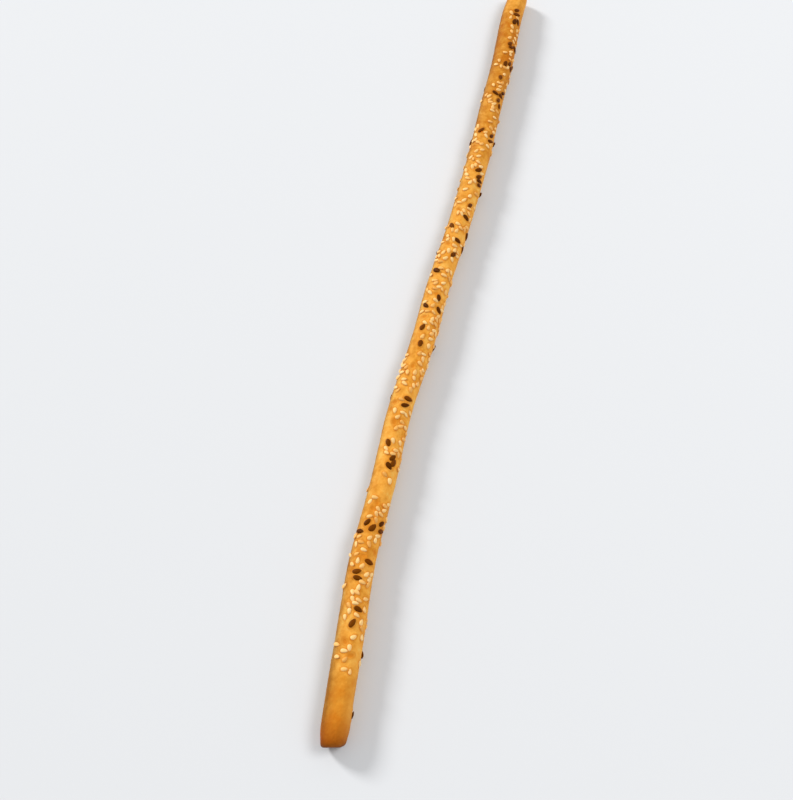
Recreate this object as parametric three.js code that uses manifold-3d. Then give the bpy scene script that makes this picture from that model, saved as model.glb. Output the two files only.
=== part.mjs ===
// A long hand-rolled breadstick, sown with sesame and flax before it was baked.
//
// Millimetres. +X runs along the stick from its cut end to its rounded end, +Y is to its left and
// +Z is up. The stick lies on the flat of its underside at Z = 0, and the origin is below the
// middle of the space that it takes up.
//
// The rope of dough is one closed skin of rings. Each seed is a small faceted grain, pressed a
// third of the way into that skin, and all of them are joined with it into one solid.

import * as THREE from 'three';
import { mergeVertices } from 'three/addons/utils/BufferGeometryUtils.js';
import Module from 'manifold-3d';

// The rope of dough
const stickLength = 456;
const girth = 12.1;
const standing = 0.915; // height of the rope's middle over the tray, as a share of its radius
const originAlong = 227.5; // the origin's place, from the cut end
const originLeft = 3.18; // and from the straight line between the two ends

// Where the rope sways left, and where it is thicker: size in mm, half waves in the length
const sways = [[4.34, 1], [3.38, 2], [0.65, 3], [-0.25, 4], [0.25, 5], [-0.18, 6], [-0.07, 8],
  [-0.38, 10], [0.26, 13]];
const cutTurn = -0.8; // near the cut end it turns aside a little more
const cutTurnReach = 40;
const swellings = [[-0.08, 1], [0.24, 2], [0.06, 3], [0.09, 4], [0.07, 5], [-0.1, 7], [-0.07, 10]];

// Both ends grow a little thinner. The cut end is slanted, leans out over the tray, and has a crisp
// left corner and a soft right one. The other end is rounded.
const cutTaper = 0.2;
const cutTaperReach = 10;
const tipTaper = 0.14;
const tipTaperReach = 18;
const cutSlant = 0.12; // lengthways shift for each mm across
const cutLean = 0.15; // lengthways shift for each mm of height
const cutReach = 12;
const cutRoundingLeft = 1.2;
const cutRoundingRight = 2.2;
const tipRounding = 4.2;

// Fineness of the skin
const sides = 16; // a multiple of four
const bodyRings = 36;
const cutRings = [0, 0.3, 1, 2.2];
const tipRings = [4.2, 2.3, 1.1, 0.35, 0];

// The two kinds of seed: half sizes, how far the widest place lies from the middle towards the
// blunt end, as a share of the half length, and how many facets they have round and lengthways.
// Each kind fell in drifts. A drift is the stretch of the stick, from and to in mm from the cut
// end, the side on which most of the seeds lie in degrees from the top towards -Y, how widely they
// lie round that, and their number.
const flax = {
  halfLength: 2.15,
  halfWidth: 1.22,
  halfThickness: 0.52,
  blunt: 0.12,
  facets: [6, 3],
  drifts: [
    [13, 19, 91, 2, 1], [37, 42, 94, 3, 1], [48, 67, 12, 10, 2], [69, 74, -10, 5, 2],
    [76, 80, 32, 5, 1], [91, 99, -20, 20, 3], [95, 102, 60, 6, 2], [126, 132, 27, 10, 3],
    [135, 139, -16, 5, 1], [155, 172, 25, 5, 2], [190, 209, -5, 5, 2], [216, 225, 5, 24, 3],
    [239, 243, -23, 4, 1], [250, 267, 20, 5, 2], [259, 273, 79, 3, 2], [268, 272, -26, 4, 1],
    [277, 290, 33, 4, 2], [300, 317, 44, 12, 4], [329, 333, -80, 3, 1], [331, 341, 50, 5, 2],
    [336, 340, -20, 4, 1], [357, 365, 47, 4, 2], [366, 381, 18, 16, 4], [388, 397, 45, 24, 4],
    [405, 410, 58, 20, 3], [426, 436, 39, 17, 4], [60, 430, 106, 2, 3], [60, 430, -107, 2, 3],
  ],
};
const sesame = {
  halfLength: 1.55,
  halfWidth: 0.96,
  halfThickness: 0.52,
  blunt: 0.28,
  facets: [5, 2],
  drifts: [
    [28, 44, 8, 32, 8], [44, 62, 22, 34, 14], [62, 80, 10, 36, 13], [80, 96, 0, 40, 12],
    [96, 110, 30, 34, 12], [111, 126, -40, 34, 3], [126, 140, 25, 32, 10], [140, 162, 35, 30, 11],
    [162, 179, 15, 36, 12], [175, 189, -55, 14, 8], [180, 196, 48, 24, 10], [196, 214, 40, 28, 18],
    [214, 228, 0, 38, 11], [228, 246, 25, 34, 17], [246, 271, 0, 40, 24], [271, 295, 5, 38, 15],
    [295, 320, 0, 40, 17], [320, 344, 0, 40, 19], [344, 369, 15, 34, 12], [369, 394, 25, 36, 15],
    [394, 414, 38, 28, 11], [417, 436, 32, 22, 8],
  ],
};

// How the seeds lie
const sunkShare = 0.3; // of their thickness
const lowestSeed = 112; // degrees round from the top: below it the tray kept the seeds off
const seedOverlap = 0.84;
const seedTries = 60;
const firstDraw = 4711;

const up = new THREE.Vector3(0, 0, 1);

// The rope's middle line and its radius, at a distance along the stick from the cut end.
function halfWaves(along, count) {
  return count * Math.PI * along / stickLength;
}

function sway(along) {
  const turn = cutTurn * Math.max(0, 1 - along / cutTurnReach) ** 2;
  return sways.reduce((sum, [size, count]) => sum + size * Math.sin(halfWaves(along, count)), turn);
}

function heading(along) {
  const turn = -2 * cutTurn / cutTurnReach * Math.max(0, 1 - along / cutTurnReach);
  const slope = sways.reduce(
    (sum, [size, count]) => sum + size * count * Math.cos(halfWaves(along, count)), 0);
  return new THREE.Vector3(1, turn + slope * Math.PI / stickLength, 0).normalize();
}

function radius(along) {
  const width = swellings.reduce(
    (sum, [size, count]) => sum + size * Math.cos(halfWaves(along, count)), girth);
  const fromCut = Math.min(1, along / cutTaperReach);
  const fromTip = Math.min(1, (stickLength - along) / tipTaperReach);
  return width / 2 * (1 - cutTaper * (1 - fromCut) ** 2 - tipTaper * (1 - fromTip) ** 2);
}

// How far a rounded edge draws the skin in, at a distance from the end face.
function roundedEdge(rounding, distance) {
  const inside = Math.max(0, rounding - distance);
  return rounding - Math.sqrt(rounding ** 2 - inside ** 2);
}

// A point of the dough's skin: along the stick from the cut end, and round it in radians from the
// top towards -Y. A share of 0 gives the middle of an end face.
function skinPoint(along, around, share = 1) {
  const leftness = -Math.sin(around);
  const cutRounding = THREE.MathUtils.lerp(cutRoundingRight, cutRoundingLeft, (leftness + 1) / 2);
  const drawnIn = roundedEdge(cutRounding, along) + roundedEdge(tipRounding, stickLength - along);
  const reach = (radius(along) - drawnIn) * share;
  const across = reach * leftness;
  const middleHeight = radius(along) * standing;
  const height = Math.max(0, middleHeight + reach * Math.cos(around));
  const slant = -(cutSlant * across + cutLean * (height - middleHeight))
    * Math.max(0, 1 - along / cutReach) ** 2;
  const forward = heading(along);
  const left = new THREE.Vector3().crossVectors(up, forward);
  return new THREE.Vector3(along - originAlong, sway(along) - originLeft, height)
    .addScaledVector(left, across)
    .addScaledVector(forward, slant);
}

// A closed shape with only positions, its shared points merged, as a solid to join with others.
function solidFrom(wasm, geometry) {
  geometry.deleteAttribute('normal');
  geometry.deleteAttribute('uv');
  const merged = mergeVertices(geometry, 1e-5);
  return new wasm.Manifold(new wasm.Mesh({
    numProp: 3,
    vertProperties: new Float32Array(merged.attributes.position.array),
    triVerts: new Uint32Array(merged.index.array),
  }));
}

// The rope of dough: a sphere's rings and two poles, each ring set at its place along the stick.
function makeRope() {
  const body = [];
  const bodyLength = stickLength - cutRings.at(-1) - tipRings[0];
  for (let ring = 1; ring < bodyRings; ring += 1) {
    body.push(cutRings.at(-1) + bodyLength * ring / bodyRings);
  }
  const places = [...cutRings, ...body, ...tipRings.map((distance) => stickLength - distance)];
  const geometry = new THREE.SphereGeometry(1, sides, places.length + 1);
  const position = geometry.attributes.position;
  const point = new THREE.Vector3();
  for (let index = 0; index < position.count; index += 1) {
    point.fromBufferAttribute(position, index);
    const ring = Math.round(Math.acos(THREE.MathUtils.clamp(point.y, -1, 1)) / Math.PI
      * (places.length + 1));
    const around = Math.round(Math.atan2(-point.x, point.z) / Math.PI * sides / 2)
      * 2 * Math.PI / sides;
    if (ring === 0) {
      point.copy(skinPoint(0, 0, 0));
    } else if (ring > places.length) {
      point.copy(skinPoint(stickLength, 0, 0));
    } else {
      point.copy(skinPoint(places[ring - 1], around));
    }
    position.setXYZ(index, point.x, point.y, point.z);
  }
  return geometry;
}

// Even random draws from 0 to 1, the same each time, and draws that crowd round 0, from -1 to 1.
let drawState = firstDraw;

function draw() {
  drawState = drawState * 48271 % 2147483647;
  return drawState / 2147483647;
}

function crowdedDraw() {
  return (draw() + draw() + draw()) / 1.5 - 1;
}

// How far a seed reaches over the skin in a direction, from its middle.
function seedReach(seed, bearing) {
  const turn = bearing - seed.twist;
  return seed.size / Math.hypot(Math.cos(turn) / seed.kind.halfLength,
    Math.sin(turn) / seed.kind.halfWidth);
}

function isClear(seed, laid) {
  return laid.every((other) => {
    const forward = seed.along - other.along;
    const round = (seed.around - other.around) * girth / 2;
    const bearing = Math.atan2(round, forward);
    const room = seedReach(seed, bearing) + seedReach(other, bearing);
    return Math.hypot(forward, round) > room * seedOverlap;
  });
}

// Lays the seeds of one kind into each drift, clear of those that lie there already.
function sow(kind, laid) {
  for (const [from, to, lean, spread, count] of kind.drifts) {
    let missing = count;
    for (let tries = 0; missing > 0 && tries < seedTries * count; tries += 1) {
      const seed = {
        kind,
        along: from + (to - from) * draw(),
        around: THREE.MathUtils.degToRad(lean + 3 * spread * crowdedDraw()),
        twist: Math.PI * draw(),
        size: 1 + 0.16 * crowdedDraw(),
        pitch: 0.42 * crowdedDraw(),
        roll: 0.42 * crowdedDraw(),
      };
      if (Math.abs(seed.around) < THREE.MathUtils.degToRad(lowestSeed) && isClear(seed, laid)) {
        laid.push(seed);
        missing -= 1;
      }
    }
  }
}

// One seed: a faceted grain with its long axis on Y, pointed at +Y and blunt at -Y, laid flat on
// the skin.
function makeSeed(seed) {
  const { halfLength, halfWidth, halfThickness, blunt, facets } = seed.kind;
  const geometry = new THREE.SphereGeometry(1, ...facets);
  const position = geometry.attributes.position;
  for (let index = 0; index < position.count; index += 1) {
    const lengthways = position.getY(index);
    position.setY(index, lengthways - blunt * (1 - lengthways ** 2));
  }
  geometry.scale(halfWidth * seed.size, halfLength * seed.size, halfThickness * seed.size);
  geometry.rotateX(seed.pitch);
  geometry.rotateY(seed.roll);

  const forward = heading(seed.along);
  const left = new THREE.Vector3().crossVectors(up, forward);
  const outward = left.clone().multiplyScalar(-Math.sin(seed.around))
    .addScaledVector(up, Math.cos(seed.around));
  const round = left.clone().multiplyScalar(-Math.cos(seed.around))
    .addScaledVector(up, -Math.sin(seed.around));
  const pointing = forward.clone().multiplyScalar(Math.cos(seed.twist))
    .addScaledVector(round, Math.sin(seed.twist));
  const crossways = new THREE.Vector3().crossVectors(pointing, outward);
  const lift = halfThickness * seed.size * (1 - 2 * sunkShare);
  const place = skinPoint(seed.along, seed.around).addScaledVector(outward, lift);
  const matrix = new THREE.Matrix4().makeBasis(crossways, pointing, outward).setPosition(place);
  return geometry.applyMatrix4(matrix);
}

const wasm = await Module();
wasm.setup();

const seeds = [];
sow(flax, seeds);
sow(sesame, seeds);

let stick = solidFrom(wasm, makeRope());
for (const seed of seeds) {
  stick = stick.add(solidFrom(wasm, makeSeed(seed)));
}

const joined = stick.getMesh();
const breadstickGeometry = new THREE.BufferGeometry();
breadstickGeometry.setAttribute('position', new THREE.BufferAttribute(joined.vertProperties, 3));
breadstickGeometry.setIndex(new THREE.BufferAttribute(joined.triVerts, 1));
breadstickGeometry.computeVertexNormals();

const crust = new THREE.MeshStandardMaterial({ color: 0xdc9a3c, roughness: 0.75, metalness: 0 });
const breadstick = new THREE.Mesh(breadstickGeometry, crust);
breadstick.name = 'breadstick';

const part = new THREE.Group();
part.add(breadstick);

export default part;
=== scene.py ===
import math
from types import SimpleNamespace

import bmesh
import bpy
from mathutils import Matrix, Vector, kdtree, noise


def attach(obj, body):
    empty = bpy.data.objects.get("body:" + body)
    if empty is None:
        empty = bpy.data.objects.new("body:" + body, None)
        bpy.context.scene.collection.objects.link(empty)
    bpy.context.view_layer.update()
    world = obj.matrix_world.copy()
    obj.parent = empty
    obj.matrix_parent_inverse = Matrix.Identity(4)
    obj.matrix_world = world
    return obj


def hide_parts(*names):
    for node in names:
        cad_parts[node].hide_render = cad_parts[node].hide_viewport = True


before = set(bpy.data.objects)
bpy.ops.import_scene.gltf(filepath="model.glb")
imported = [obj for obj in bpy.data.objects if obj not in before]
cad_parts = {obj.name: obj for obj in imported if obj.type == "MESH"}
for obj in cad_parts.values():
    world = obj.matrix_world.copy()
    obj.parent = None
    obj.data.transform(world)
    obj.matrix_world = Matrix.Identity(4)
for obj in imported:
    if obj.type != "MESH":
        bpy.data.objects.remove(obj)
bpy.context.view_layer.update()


# The rope of dough
#
# A rope of plain wheat dough, rolled by hand until it is long, thin and a little wavy, and laid
# on a baking tray, where it sagged flat underneath. One end was cut off at a slant and has one
# crisp and one soft corner. The other end kept its rounded tip.

MM = 0.001
stick_length = 456 * MM
girth = 12.1 * MM
standing = 0.915  # height of the rope's middle over the tray, as a share of its radius
origin_along = 227.5 * MM  # the origin's place, from the cut end
origin_left = 3.18 * MM  # and from the straight line between the two ends

# Where the rope sways left, and where it is thicker: the size in mm, and the half waves in the
# length
sways = ((4.34, 1), (3.38, 2), (0.65, 3), (-0.25, 4), (0.25, 5), (-0.18, 6), (-0.07, 8),
         (-0.38, 10), (0.26, 13))
cut_turn = -0.8 * MM  # near the cut end it turns aside a little more
cut_turn_reach = 40 * MM
swellings = ((-0.08, 1), (0.24, 2), (0.06, 3), (0.09, 4), (0.07, 5), (-0.1, 7), (-0.07, 10))

cut_taper = 0.2
cut_taper_reach = 10 * MM
tip_taper = 0.14
tip_taper_reach = 18 * MM
cut_slant = 0.12  # lengthways shift for each metre across
cut_lean = 0.15  # lengthways shift for each metre of height
cut_reach = 12 * MM
cut_rounding_left = 1.2 * MM
cut_rounding_right = 2.2 * MM
tip_rounding = 4.2 * MM
tray_edge = 0.25 * MM  # softness of the edge between the flat underside and the round sides
up = Vector((0, 0, 1))


def half_waves(along, count):
    return count * math.pi * along / stick_length


def sway(along):
    turn = cut_turn * max(0, 1 - along / cut_turn_reach) ** 2
    return turn + sum(size * MM * math.sin(half_waves(along, count)) for size, count in sways)


def heading(along):
    """The way the rope runs, level, from the cut end to the tip."""
    turn = -2 * cut_turn / cut_turn_reach * max(0, 1 - along / cut_turn_reach)
    slope = sum(size * MM * count * math.cos(half_waves(along, count)) for size, count in sways)
    return Vector((1, turn + slope * math.pi / stick_length, 0)).normalized()


def left_of(forward):
    """Level and to the left, for someone who looks that way."""
    return Vector((-forward.y, forward.x, 0))


def radius(along):
    swelling = sum(size * MM * math.cos(half_waves(along, count)) for size, count in swellings)
    from_cut = min(1, along / cut_taper_reach)
    from_tip = min(1, (stick_length - along) / tip_taper_reach)
    taper = cut_taper * (1 - from_cut) ** 2 + tip_taper * (1 - from_tip) ** 2
    return (girth + swelling) / 2 * (1 - taper)


def rounded_edge(rounding, distance):
    """How far a rounded edge draws the skin in, at a distance from the end face."""
    inside = max(0, rounding - distance)
    return rounding - math.sqrt(rounding ** 2 - inside ** 2)


def skin_point(along, around, share=1, raised=0):
    """A point of the dough's skin, around in radians from the top towards -Y. A share of 0 is the
    middle of an end face, and raised lifts the skin outwards."""
    leftness = -math.sin(around)
    left_share = (leftness + 1) / 2
    cut_rounding = cut_rounding_right + (cut_rounding_left - cut_rounding_right) * left_share
    drawn_in = rounded_edge(cut_rounding, along)
    drawn_in += rounded_edge(tip_rounding, stick_length - along)
    reach = (radius(along) - drawn_in) * share + raised
    across = reach * leftness
    middle_height = radius(along) * standing
    free_height = middle_height + reach * math.cos(around)
    height = (free_height + math.hypot(free_height, tray_edge)) / 2
    slant = cut_slant * across + cut_lean * (height - middle_height)
    slant *= max(0, 1 - along / cut_reach) ** 2
    forward = heading(along)
    middle = Vector((along - origin_along, sway(along) - origin_left, height))
    return middle + left_of(forward) * across - forward * slant


# Sowing
#
# The wet rope was rolled through a mix of sesame and flax, which stuck in drifts: thick along
# some stretches and thin on others, mostly on the top and the right. The tray kept them off the
# underside. Each seed is pressed in by about a third of its thickness, and some lie tilted.

# A drift is a stretch in mm from the cut end, the side on which most seeds lie in degrees from
# the top towards -Y, how widely they lie round that, and how many there are.
flax = SimpleNamespace(
    name="flax", half_length=2.15 * MM, half_width=1.22 * MM, half_thickness=0.52 * MM, blunt=0.12,
    drifts=(
        (13, 19, 91, 2, 1), (37, 42, 94, 3, 1), (48, 67, 12, 10, 2), (69, 74, -10, 5, 2),
        (76, 80, 32, 5, 1), (91, 99, -20, 20, 3), (95, 102, 60, 6, 2), (126, 132, 27, 10, 3),
        (135, 139, -16, 5, 1), (155, 172, 25, 5, 2), (190, 209, -5, 5, 2), (216, 225, 5, 24, 3),
        (239, 243, -23, 4, 1), (250, 267, 20, 5, 2), (259, 273, 79, 3, 2), (268, 272, -26, 4, 1),
        (277, 290, 33, 4, 2), (300, 317, 44, 12, 4), (329, 333, -80, 3, 1), (331, 341, 50, 5, 2),
        (336, 340, -20, 4, 1), (357, 365, 47, 4, 2), (366, 381, 18, 16, 4), (388, 397, 45, 24, 4),
        (405, 410, 58, 20, 3), (426, 436, 39, 17, 4), (60, 430, 106, 2, 3), (60, 430, -107, 2, 3)))
sesame = SimpleNamespace(
    name="sesame", half_length=1.55 * MM, half_width=0.96 * MM, half_thickness=0.52 * MM,
    blunt=0.28,
    drifts=(
        (28, 44, 8, 32, 8), (44, 62, 22, 34, 14), (62, 80, 10, 36, 13), (80, 96, 0, 40, 12),
        (96, 110, 30, 34, 12), (111, 126, -40, 34, 3), (126, 140, 25, 32, 10),
        (140, 162, 35, 30, 11), (162, 179, 15, 36, 12), (175, 189, -55, 14, 8),
        (180, 196, 48, 24, 10), (196, 214, 40, 28, 18), (214, 228, 0, 38, 11),
        (228, 246, 25, 34, 17), (246, 271, 0, 40, 24), (271, 295, 5, 38, 15),
        (295, 320, 0, 40, 17), (320, 344, 0, 40, 19), (344, 369, 15, 34, 12),
        (369, 394, 25, 36, 15), (394, 414, 38, 28, 11), (417, 436, 32, 22, 8)))

# Seeds that fell off again after baking, of which only the prints are left
lost = SimpleNamespace(
    half_length=1.7 * MM, half_width=1.1 * MM, half_thickness=0.5 * MM,
    drifts=((30, 46, 10, 16, 2), (60, 90, 0, 24, 3), (104, 124, 0, 24, 2), (148, 184, -20, 20, 4),
            (205, 300, -20, 24, 5), (310, 440, -20, 24, 6)))

sunk_share = 0.3  # of a seed's thickness
lowest_seed = math.radians(112)  # round from the top, either way
seed_overlap = 0.84  # how near two seeds may lie, as a share of their reaches together
seed_tries = 60  # places tried for each seed of a drift
widest_lie = 3  # the outermost seeds lie this many times the drift's spread off its middle
seed_size_range = 0.16  # either way, as a share
seed_tilt_range = 0.42  # either way, in radians
first_draw = 4711
draw_factor = 48271
draw_range = 2147483647


def even_draws(first):
    """Random numbers from 0 to 1, the same each time."""
    state = first
    while True:
        state = state * draw_factor % draw_range
        yield state / draw_range


def crowded(draws):
    """One random number from -1 to 1, mostly near 0."""
    return (next(draws) + next(draws) + next(draws)) / 1.5 - 1


def seed_reach(seed, bearing):
    """How far a seed reaches over the skin in a direction, from its middle."""
    turn = bearing - seed.twist
    return seed.size / math.hypot(math.cos(turn) / seed.kind.half_length,
                                  math.sin(turn) / seed.kind.half_width)


def is_clear(seed, laid):
    for other in laid:
        forward = seed.along - other.along
        across = (seed.around - other.around) * girth / 2
        bearing = math.atan2(across, forward)
        room = seed_reach(seed, bearing) + seed_reach(other, bearing)
        if math.hypot(forward, across) <= room * seed_overlap:
            return False
    return True


def sow(kind, laid, draws):
    """Lays the seeds of one kind into each drift, clear of those that lie there already."""
    for start, end, lean, spread, count in kind.drifts:
        missing = count
        tries = 0
        while missing > 0 and tries < seed_tries * count:
            tries += 1
            seed = SimpleNamespace(
                kind=kind,
                along=(start + (end - start) * next(draws)) * MM,
                around=math.radians(lean + widest_lie * spread * crowded(draws)),
                twist=math.pi * next(draws),
                size=1 + seed_size_range * crowded(draws),
                pitch=seed_tilt_range * crowded(draws),
                roll=seed_tilt_range * crowded(draws),
            )
            if abs(seed.around) < lowest_seed and is_clear(seed, laid):
                laid.append(seed)
                missing -= 1


def bed_of(seed):
    """Where a seed's middle lies, and which way its width, its point and its flat face look."""
    forward = heading(seed.along)
    left = left_of(forward)
    outward = up * math.cos(seed.around) - left * math.sin(seed.around)
    downward = -left * math.cos(seed.around) - up * math.sin(seed.around)
    pointing = forward * math.cos(seed.twist) + downward * math.sin(seed.twist)
    crossways = pointing.cross(outward)
    lift = seed.kind.half_thickness * seed.size * (1 - 2 * sunk_share)
    place = skin_point(seed.along, seed.around) + outward * lift
    return Matrix.Translation(place) @ Matrix((crossways, pointing, outward)).transposed().to_4x4()


seeds = []
sowing = even_draws(first_draw)
for kind in (flax, sesame, lost):
    sow(kind, seeds, sowing)
beds = [bed_of(seed) for seed in seeds]
seed_places = kdtree.KDTree(len(seeds))
for number, bed in enumerate(beds):
    seed_places.insert(bed.translation, number)
seed_places.balance()


# The crust
#
# The baked skin of the rope. It dried and coloured in the oven: golden, paler low on the sides,
# deeper orange on its small rises and browned at the cut end. Painted light makes its right side
# paler, and painted shade darkens its left flank, the foot of the cut face and the dough round
# each seed. The dough swelled a little round each seed, and the seeds that fell off left shallow
# prints.

crust_sides = 80
face_rings = 7
cut_edge_rings = 12
body_rings = 950
tip_edge_rings = 16
tip_face_share = 0.5  # the one ring on the small face that is left at the tip

# The skin's unevenness: the breadth and the height of its lumps, its wrinkles and its grain
dough_waves = ((11 * MM, 0.15 * MM), (3.2 * MM, 0.1 * MM), (1.1 * MM, 0.04 * MM))

# The dough swelled in a ring round each seed, whose crest and width are in half sizes of the seed,
# as is the edge of the print that a lost seed left.
seed_neighbourhood = 3.4 * MM
swelling_height = 0.14 * MM
swelling_crest = 1.2
swelling_width = 0.3
print_depth = 0.24 * MM
print_edge = 0.85
print_sharpness = 9

# Where the crust is paler, partly with painted light, darker, partly with painted shade, browned,
# and singed and shaded, and how much, as shares. Across the stick, -1 is its right edge and 1 its
# left one.
near_cut_reach = 50 * MM
# Painted light: paler along the right edge, and on the right near the cut end
right_edge_start = 0.85
right_edge_painted_light = 0.12
near_cut_painted_light = 0.2
# Painted shade down the left flank, strongest at its edge and near the cut end; the far third is
# darker too
left_half_start = -0.25
left_half_full = 0.45
left_half_painted_shade = 0.25
left_edge_painted_shade = 0.9
near_cut_painted_shade = 0.85
far_third_middle = 395 * MM
far_third_reach = 75 * MM
far_third_fading = 25 * MM  # the stretch before the tip over which it wears off
far_third_darkening = 0.24
low_fading = 6 * MM  # the stretch at either end over which the low flanks wear off
browned_share = 0.77
browned_reach = 8 * MM
# The foot of the cut face is dark: partly singed crust, partly painted shade
singe_and_shade_reach = 3 * MM
singe_and_shade_height = 10 * MM


def crust_rings():
    """Each ring's place along the stick, and its share of the way out on an end face."""
    rings = [(0, ring / face_rings) for ring in range(1, face_rings)]
    for ring in range(cut_edge_rings):
        rings.append((cut_rounding_right * (1 - math.cos(ring / cut_edge_rings * math.pi / 2)), 1))
    body_length = stick_length - cut_rounding_right - tip_rounding
    for ring in range(body_rings):
        rings.append((cut_rounding_right + body_length * ring / body_rings, 1))
    for ring in range(tip_edge_rings + 1):
        back = tip_rounding * (1 - math.sin(ring / tip_edge_rings * math.pi / 2))
        rings.append((stick_length - back, 1))
    rings.append((stick_length, tip_face_share))
    return rings


def bell(distance, reach):
    """1 at no distance, and next to nothing at twice the reach."""
    return math.exp(-(distance / reach) ** 2)


def seed_marks(point):
    """How far the dough stands up round the seeds near a point, and how deep a print lies there,
    as a share of the deepest."""
    swollen = 0
    pressed = 0
    for _, number, _ in seed_places.find_range(point, seed_neighbourhood):
        seed = seeds[number]
        local = beds[number].inverted() @ point
        away = math.hypot(local.x / seed.kind.half_width, local.y / seed.kind.half_length)
        away /= seed.size
        swollen = max(swollen, bell(away - swelling_crest, swelling_width))
        if seed.kind is lost:
            pressed = max(pressed, 1 / (1 + math.exp((away - print_edge) * print_sharpness)))
    return swollen, pressed


def dough_relief(point):
    """Lumps of the hand-rolled rope, and the finer wrinkles of its dried skin."""
    return sum(noise.noise(point / breadth) * height for breadth, height in dough_waves)


def paleness_and_painted_light(along, low, leftness):
    """Paler low on both flanks, and painted light along the very edge on the right and on the
    right near the cut end, as a share."""
    right_edge = max(0, -leftness - right_edge_start) / (1 - right_edge_start)
    near_cut_right = max(0, -leftness) ** 1.5 * bell(along, near_cut_reach)
    return max(low, right_edge_painted_light * right_edge, near_cut_painted_light * near_cut_right)


def painted_shade_share(along, leftness):
    """Painted shade down the left flank, above all near the cut end, and darker over the far
    third, as a share."""
    left_half = min(1, max(0, (leftness - left_half_start) / (left_half_full - left_half_start)))
    left_edge = max(0, leftness) ** 6
    near_cut_left = max(0, leftness) ** 1.6 * bell(along, near_cut_reach)
    far_third = bell(along - far_third_middle, far_third_reach)
    far_third *= min(1, (stick_length - along) / far_third_fading)
    return min(1, left_half_painted_shade * left_half + left_edge_painted_shade * left_edge
               + near_cut_painted_shade * near_cut_left + far_third_darkening * far_third)


rings = crust_rings()
shape = bmesh.new()
bmesh.ops.create_uvsphere(shape, u_segments=crust_sides, v_segments=len(rings) + 1, radius=1)
marks = {name: shape.verts.layers.float.new(name)
         for name in ("along", "risen", "bed", "print", "pale", "low", "dusky", "browned",
                      "singed")}
for vert in shape.verts:
    from_pole = math.atan2(math.hypot(vert.co.x, vert.co.y), vert.co.z)
    ring = round(from_pole / math.pi * (len(rings) + 1))
    around = math.atan2(vert.co.x, vert.co.y)
    if ring == 0:
        along, share = 0, 0
    elif ring > len(rings):
        along, share = stick_length, 0
    else:
        along, share = rings[ring - 1]
    smooth_point = skin_point(along, around, share)
    swollen, pressed = seed_marks(smooth_point)
    relief = dough_relief(smooth_point)
    raised = relief + swollen * swelling_height - pressed * print_depth
    vert.co = skin_point(along, around, share, raised * share)
    outwards = vert.co - skin_point(along, 0, 0)
    leftness = outwards.dot(left_of(heading(along))) / radius(along)
    nearest_end = min(along, stick_length - along)
    low = max(0, -math.cos(around)) * min(1, nearest_end / low_fading)
    vert[marks["along"]] = along / stick_length
    vert[marks["risen"]] = relief / MM
    # round each seed: deeper orange, partly toasted swelling and partly painted shade
    vert[marks["bed"]] = swollen
    vert[marks["print"]] = pressed
    vert[marks["low"]] = low
    # paler low flanks, and painted light on the right side
    vert[marks["pale"]] = paleness_and_painted_light(along, low, leftness)
    # painted shade down the left flank, and a darker far third
    vert[marks["dusky"]] = painted_shade_share(along, leftness)
    vert[marks["browned"]] = browned_share * bell(along, browned_reach)
    # the cut face's foot: partly singed, partly painted shade
    vert[marks["singed"]] = bell(along, singe_and_shade_reach) * bell(vert.co.z, singe_and_shade_height)
bmesh.ops.recalc_face_normals(shape, faces=shape.faces)
for face in shape.faces:
    face.smooth = True
crust_mesh = bpy.data.meshes.new("crust")
shape.to_mesh(crust_mesh)
shape.free()
crust = bpy.data.objects.new("crust", crust_mesh)
bpy.context.scene.collection.objects.link(crust)


def mottling():
    """A node group for dry baked things: broad patches and fine grain, each from 0 to 1, at the
    sizes asked for."""
    group = bpy.data.node_groups.new("mottling", "ShaderNodeTree")
    for name in ("Patch size", "Grain size"):
        group.interface.new_socket(name=name, in_out="INPUT", socket_type="NodeSocketFloat")
    for name in ("Patches", "Grain"):
        group.interface.new_socket(name=name, in_out="OUTPUT", socket_type="NodeSocketFloat")
    entry = group.nodes.new("NodeGroupInput")
    leaving = group.nodes.new("NodeGroupOutput")
    place = group.nodes.new("ShaderNodeTexCoord")
    for size, name, fineness in (("Patch size", "Patches", 3), ("Grain size", "Grain", 2)):
        scale = group.nodes.new("ShaderNodeMath")
        scale.operation = "DIVIDE"
        scale.inputs[0].default_value = 1
        group.links.new(entry.outputs[size], scale.inputs[1])
        cloud = group.nodes.new("ShaderNodeTexNoise")
        cloud.inputs["Detail"].default_value = fineness
        cloud.inputs["Roughness"].default_value = 0.6
        group.links.new(place.outputs["Object"], cloud.inputs["Vector"])
        group.links.new(scale.outputs["Value"], cloud.inputs["Scale"])
        spread = group.nodes.new("ShaderNodeMapRange")
        spread.inputs["From Min"].default_value = 0.28
        spread.inputs["From Max"].default_value = 0.72
        group.links.new(cloud.outputs["Fac"], spread.inputs["Value"])
        group.links.new(spread.outputs["Result"], leaving.inputs[name])
    return group


def mottled(material, patch_size, grain_size):
    """Places the mottling in a material and gives back its two outputs."""
    node = material.node_tree.nodes.new("ShaderNodeGroup")
    node.node_tree = mottling_group
    node.inputs["Patch size"].default_value = patch_size
    node.inputs["Grain size"].default_value = grain_size
    return node.outputs["Patches"], node.outputs["Grain"]


def attribute(material, name):
    node = material.node_tree.nodes.new("ShaderNodeAttribute")
    node.attribute_name = name
    return node.outputs["Fac"]


def reckon(material, operation, first, second):
    """A Math node on two values, each a socket or a number."""
    node = material.node_tree.nodes.new("ShaderNodeMath")
    node.operation = operation
    for socket, value in zip(node.inputs, (first, second)):
        if isinstance(value, bpy.types.NodeSocket):
            material.node_tree.links.new(value, socket)
        else:
            socket.default_value = value
    return node.outputs["Value"]


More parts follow.
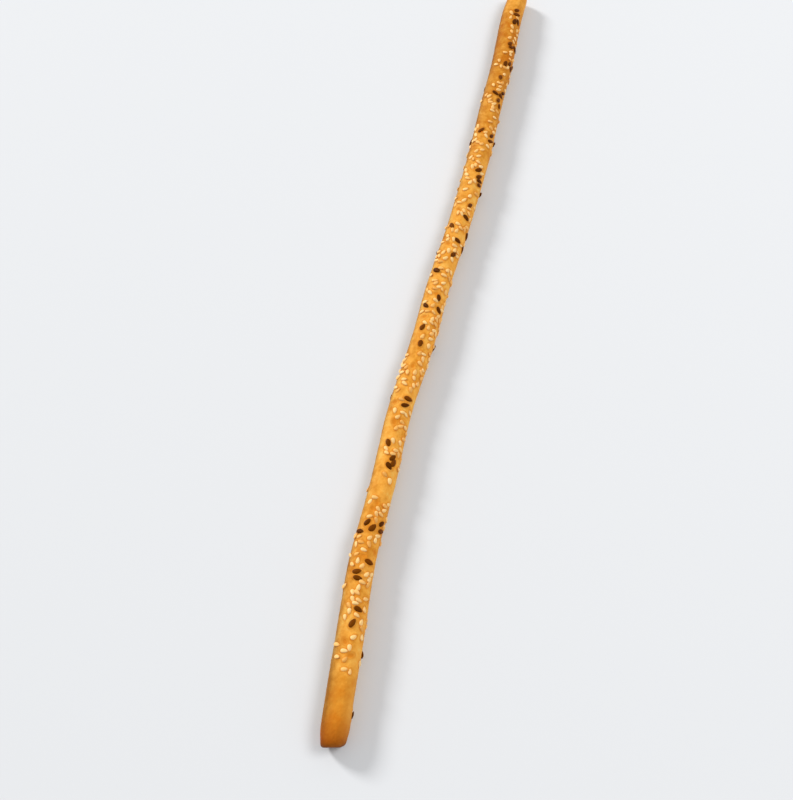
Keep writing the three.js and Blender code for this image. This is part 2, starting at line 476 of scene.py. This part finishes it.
def between(material, value, low, high):
    """0 under the low value, 1 over the high one, and a soft step between them."""
    node = material.node_tree.nodes.new("ShaderNodeMapRange")
    node.interpolation_type = "SMOOTHSTEP"
    node.inputs["From Min"].default_value = low
    node.inputs["From Max"].default_value = high
    material.node_tree.links.new(value, node.inputs["Value"])
    return node.outputs["Result"]


def blend(material, mask, first, second, mode="MIX"):
    """From the first colour to the second, as the mask goes from 0 to 1."""
    node = material.node_tree.nodes.new("ShaderNodeMix")
    node.data_type = "RGBA"
    node.blend_type = mode
    material.node_tree.links.new(mask, node.inputs[0])
    for socket, value in zip(node.inputs[6:8], (first, second)):
        if isinstance(value, bpy.types.NodeSocket):
            material.node_tree.links.new(value, socket)
        else:
            socket.default_value = (*value, 1)
    return node.outputs[2]


def bumped(material, height, strength, distance):
    """Fine relief on the shader's normal."""
    node = material.node_tree.nodes.new("ShaderNodeBump")
    node.inputs["Strength"].default_value = strength
    node.inputs["Distance"].default_value = distance
    material.node_tree.links.new(height, node.inputs["Height"])
    shader = material.node_tree.nodes["Principled BSDF"]
    material.node_tree.links.new(node.outputs["Normal"], shader.inputs["Normal"])


def with_some(material, base, value, amount):
    """The base, with that amount of the value on top."""
    return reckon(material, "ADD", reckon(material, "MULTIPLY", value, amount), base)


def finish(material, colour, roughness, shine):
    """Gives a material its colour, how rough it is and how much it shines."""
    shader = material.node_tree.nodes["Principled BSDF"]
    shader.inputs["Specular IOR Level"].default_value = shine
    material.node_tree.links.new(colour, shader.inputs["Base Color"])
    material.node_tree.links.new(roughness, shader.inputs["Roughness"])
    return shader


mottling_group = mottling()
straw = (0.93, 0.51, 0.10)
pale_gold = (0.91, 0.40, 0.054)
gold = (0.74, 0.29, 0.027)
orange = (0.66, 0.195, 0.008)
brown = (0.37, 0.07, 0.0005)
# Tints for the painted shade on the left flank and for the singed and shaded foot of the cut face
painted_shade_tint = (0.42, 0.43, 0.50)
singe_and_shade_brown = (0.12, 0.035, 0.003)
cream = (0.80, 0.47, 0.14)
tray_brown = (0.55, 0.24, 0.05)

crust_material = bpy.data.materials.new("baked_crust")
crust_material.use_nodes = True
patches, grain = mottled(crust_material, 14 * MM, 1.3 * MM)
blotches, freckles = mottled(crust_material, 5 * MM, 2.2 * MM)

# How well done each stretch is, from the cut end on, as shares: more near the cut end and towards
# the tip than in the middle
well_done_stops = (
    (0, 0.75), (0.02, 0.75), (0.035, 0.5), (0.048, 0.65), (0.06, 0.5), (0.08, 0), (0.13, 0.1),
    (0.2, 0.3), (0.265, 0), (0.3, 0.15), (0.4, 0.1), (0.55, 0.05), (0.65, 0.1), (0.75, 0.3),
    (0.87, 0.55), (0.94, 0.7), (0.965, 0.3), (1, 0.3))
well_done = crust_material.node_tree.nodes.new("ShaderNodeValToRGB")
stops = well_done.color_ramp.elements  # which starts with one at either end
for place, _ in well_done_stops[1:-1]:
    stops.new(place)
for stop, (_, share) in zip(stops, well_done_stops):
    stop.color = (share, share, share, 1)
along = attribute(crust_material, "along")
crust_material.node_tree.links.new(along, well_done.inputs["Fac"])

# The clouds of deeper colour, weaker at the smooth cut end
clouds = with_some(crust_material, -0.8, patches, 0.4)
for cloud, amount in ((blotches, 0.8), (freckles, 0.4), (grain, 0.1)):
    clouds = with_some(crust_material, clouds, cloud, amount)
away_from_cut = between(crust_material, along, -0.06, 0.14)
clouds = reckon(crust_material, "MULTIPLY", clouds, away_from_cut)
toasted = reckon(crust_material, "ADD", well_done.outputs["Color"], clouds)

# From straw to orange, the more it is toasted
lightly = between(crust_material, toasted, -0.3, 0.15)
fairly = between(crust_material, toasted, 0.05, 0.6)
strongly = between(crust_material, toasted, 0.4, 1.05)
colour = blend(crust_material, lightly, straw, pale_gold)
colour = blend(crust_material, fairly, colour, gold)
colour = blend(crust_material, strongly, colour, orange)

# Deeper orange on the small rises, round the seeds and in the prints of lost ones. Round the seeds
# it is partly the toasted swelling and partly painted shade.
for name, bottom, top, amount in (("risen", 0, 0.16, 0.35), ("bed", 0.1, 1, 0.5),
                                  ("print", 0, 1, 0.8)):
    mask = between(crust_material, attribute(crust_material, name), bottom, top)
    mask = reckon(crust_material, "MULTIPLY", mask, amount)
    colour = blend(crust_material, mask, colour, orange)

# The paler low flanks with painted light on the right side, and the flat that lay on the tray
for name, bottom, top, shade in (("pale", 0, 0.6, cream), ("low", 0.82, 0.95, tray_brown)):
    mask = between(crust_material, attribute(crust_material, name), bottom, top)
    colour = blend(crust_material, mask, colour, shade)

# Painted shade down the left flank, a darker far third, and the browned cut end whose face is
# singed and painted with shade at its foot, all a little uneven
uneven = with_some(crust_material, 0.8, patches, 0.2)
uneven = with_some(crust_material, uneven, freckles, 0.2)
for name, shade, mode in (("dusky", painted_shade_tint, "MULTIPLY"), ("browned", brown, "MIX"),
                          ("singed", singe_and_shade_brown, "MIX")):
    mask = reckon(crust_material, "MULTIPLY", attribute(crust_material, name), uneven)
    colour = blend(crust_material, mask, colour, shade, mode)

shader = finish(crust_material, colour, with_some(crust_material, 0.55, grain, 0.16), 0.15)
shader.inputs["Specular Tint"].default_value = (1, 0.7, 0.35, 1)
bumped(crust_material, reckon(crust_material, "ADD", grain, freckles), 0.5, 0.18 * MM)
crust.data.materials.append(crust_material)

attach(crust, "root")
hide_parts("breadstick")


# The sesame
#
# Hulled sesame, cream to pale gold, toasted a little at the point. Each seed is flat and
# drop-shaped, blunt at one end, and pressed into the dough by about a third of its thickness.

seed_sides = 8
seed_steps = 6
bend_range = 0.16  # either way, as a share of the half width
plumpness_range = 0.1  # either way, as a share
point_narrowing = 0.22


def seed_piece(kind):
    """All seeds of one kind, as one piece, each a little different in form and tint."""
    whole = bmesh.new()
    tint_layer = whole.verts.layers.float.new("tint")
    point_layer = whole.verts.layers.float.new("point")
    draws = even_draws(first_draw + len(kind.name))
    for seed, bed in zip(seeds, beds):
        if seed.kind is not kind:
            continue
        grain = bmesh.ops.create_uvsphere(
            whole, u_segments=seed_sides, v_segments=seed_steps, radius=1,
            matrix=Matrix.Rotation(-math.pi / 2, 4, "X"))
        tint = next(draws)
        bend = bend_range * crowded(draws)
        plump = 1 + plumpness_range * crowded(draws)
        for vert in grain["verts"]:
            lengthways = vert.co.y
            narrow = (1 - point_narrowing * max(0, lengthways) ** 2) * plump
            vert.co.x = vert.co.x * narrow + bend * (lengthways ** 2 - 0.5)
            vert.co.y -= kind.blunt * (1 - lengthways ** 2)
            vert.co.z *= narrow
            vert[tint_layer] = tint
            vert[point_layer] = (lengthways + 1) / 2
        size = Matrix.Diagonal((kind.half_width, kind.half_length, kind.half_thickness)).to_4x4()
        size = Matrix.Scale(seed.size, 4) @ size
        tilt = Matrix.Rotation(seed.roll, 4, "Y") @ Matrix.Rotation(seed.pitch, 4, "X")
        bmesh.ops.transform(whole, matrix=bed @ tilt @ size, verts=grain["verts"])
    for face in whole.faces:
        face.smooth = True
    mesh = bpy.data.meshes.new(kind.name)
    whole.to_mesh(mesh)
    whole.free()
    piece = bpy.data.objects.new(kind.name, mesh)
    bpy.context.scene.collection.objects.link(piece)
    return piece


def hull_material(name, patch_size, grain_size):
    """A new material for the hulls of seeds, with its patches, its grain and the seeds' tint."""
    material = bpy.data.materials.new(name)
    material.use_nodes = True
    return material, *mottled(material, patch_size, grain_size), attribute(material, "tint")


sesame_piece = seed_piece(sesame)
hull_cream = (1, 0.68, 0.28)
hull_gold = (0.93, 0.45, 0.09)
toasted_hull = (0.78, 0.35, 0.06)
hull_cloud = (0.88, 0.45, 0.11)
toasted_point = (0.66, 0.30, 0.06)
sesame_material, patches, grain, tint = hull_material("sesame_hull", 1.6 * MM, 0.35 * MM)
colour = blend(sesame_material, tint, hull_cream, hull_gold)
colour = blend(sesame_material, between(sesame_material, tint, 0.75, 1.05), colour, toasted_hull)
cloudy = reckon(sesame_material, "MULTIPLY", patches, 0.35)
colour = blend(sesame_material, cloudy, colour, hull_cloud)
pointed = between(sesame_material, attribute(sesame_material, "point"), 0.8, 1)
pointed = reckon(sesame_material, "MULTIPLY", pointed, 0.5)
colour = blend(sesame_material, pointed, colour, toasted_point)
finish(sesame_material, colour, with_some(sesame_material, 0.4, grain, 0.15), 0.25)
bumped(sesame_material, grain, 0.3, 0.04 * MM)
sesame_piece.data.materials.append(sesame_material)

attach(sesame_piece, "root")
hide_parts("breadstick")


# The flax
#
# Brown flax: larger, flat, pointed at one end, with a smooth hull from near black to chestnut, a
# little paler at the point.

flax_piece = seed_piece(flax)
near_black = (0.06, 0.012, 0.0003)
dark_chestnut = (0.16, 0.038, 0.001)
chestnut_cloud = (0.18, 0.048, 0.002)
chestnut_point = (0.26, 0.09, 0.012)
flax_material, patches, grain, tint = hull_material("flax_hull", 2.2 * MM, 0.4 * MM)
colour = blend(flax_material, tint, near_black, dark_chestnut)
cloudy = reckon(flax_material, "MULTIPLY", patches, 0.3)
colour = blend(flax_material, cloudy, colour, chestnut_cloud)
pointed = between(flax_material, attribute(flax_material, "point"), 0.75, 1)
pointed = reckon(flax_material, "MULTIPLY", pointed, 0.35)
colour = blend(flax_material, pointed, colour, chestnut_point)
shader = finish(flax_material, colour, with_some(flax_material, 0.42, grain, 0.12), 0.13)
shader.inputs["Specular Tint"].default_value = (1, 0.45, 0.06, 1)
bumped(flax_material, grain, 0.25, 0.03 * MM)
flax_piece.data.materials.append(flax_material)

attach(flax_piece, "root")
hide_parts("breadstick")


# The table and the light
#
# A plain pale table top. The room's light is soft and even. A lamp at the far left throws a soft
# shadow to the right, and a weak one above the right fills it in a little.

table_size = 6
table_shape = bmesh.new()
bmesh.ops.create_grid(table_shape, x_segments=1, y_segments=1, size=table_size / 2)
table_mesh = bpy.data.meshes.new("table")
table_shape.to_mesh(table_mesh)
table_shape.free()
table = bpy.data.objects.new("table", table_mesh)
bpy.context.scene.collection.objects.link(table)
table_material = bpy.data.materials.new("table_top")
table_material.use_nodes = True
shader = table_material.node_tree.nodes["Principled BSDF"]
shader.inputs["Base Color"].default_value = (0.745, 0.755, 0.77, 1)
shader.inputs["Roughness"].default_value = 0.8
shader.inputs["Specular IOR Level"].default_value = 0.1
table.data.materials.append(table_material)

view_heading = math.radians(13.02)
away = Vector((math.cos(view_heading), math.sin(view_heading), 0))
leftward = left_of(away)


def add_lamp(name, size, energy, left, ahead, high):
    """A round soft lamp, turned to the middle of the stick. The place is to the left, away and up,
    as seen by the camera."""
    light = bpy.data.lights.new(name, "AREA")
    light.shape = "DISK"
    light.size = size
    light.energy = energy
    lamp = bpy.data.objects.new(name, light)
    place = leftward * left + away * ahead + up * high
    lamp.location = place
    lamp.rotation_euler = (-place).to_track_quat("-Z", "Y").to_euler()
    bpy.context.scene.collection.objects.link(lamp)


add_lamp("key", size=1.4, energy=248, left=4.05, ahead=3, high=2.73)
add_lamp("fill", size=1.2, energy=22.4, left=-1.45, ahead=0.2, high=2)

world = bpy.data.worlds.new("room")
world.use_nodes = True
world.node_tree.nodes["Background"].inputs["Color"].default_value = (0.98, 0.99, 1, 1)
world.node_tree.nodes["Background"].inputs["Strength"].default_value = 0.515
bpy.context.scene.world = world
bpy.context.scene.view_settings.view_transform = "Standard"


# The camera
#
# It looks along the stick from behind the cut end, from well above.

camera_height = 451.7 * MM
camera_back = 294.2 * MM
camera_right = 46.59 * MM
camera_down = math.radians(62)

camera = bpy.data.cameras.new("camera")
camera.lens = 46.67
camera.clip_start = 0.01
camera_object = bpy.data.objects.new("camera", camera)
camera_object.location = (-camera_back, -camera_right, camera_height)
looking = away * math.cos(camera_down) - up * math.sin(camera_down)
camera_object.rotation_euler = looking.to_track_quat("-Z", "Y").to_euler()
bpy.context.scene.collection.objects.link(camera_object)
bpy.context.scene.camera = camera_object
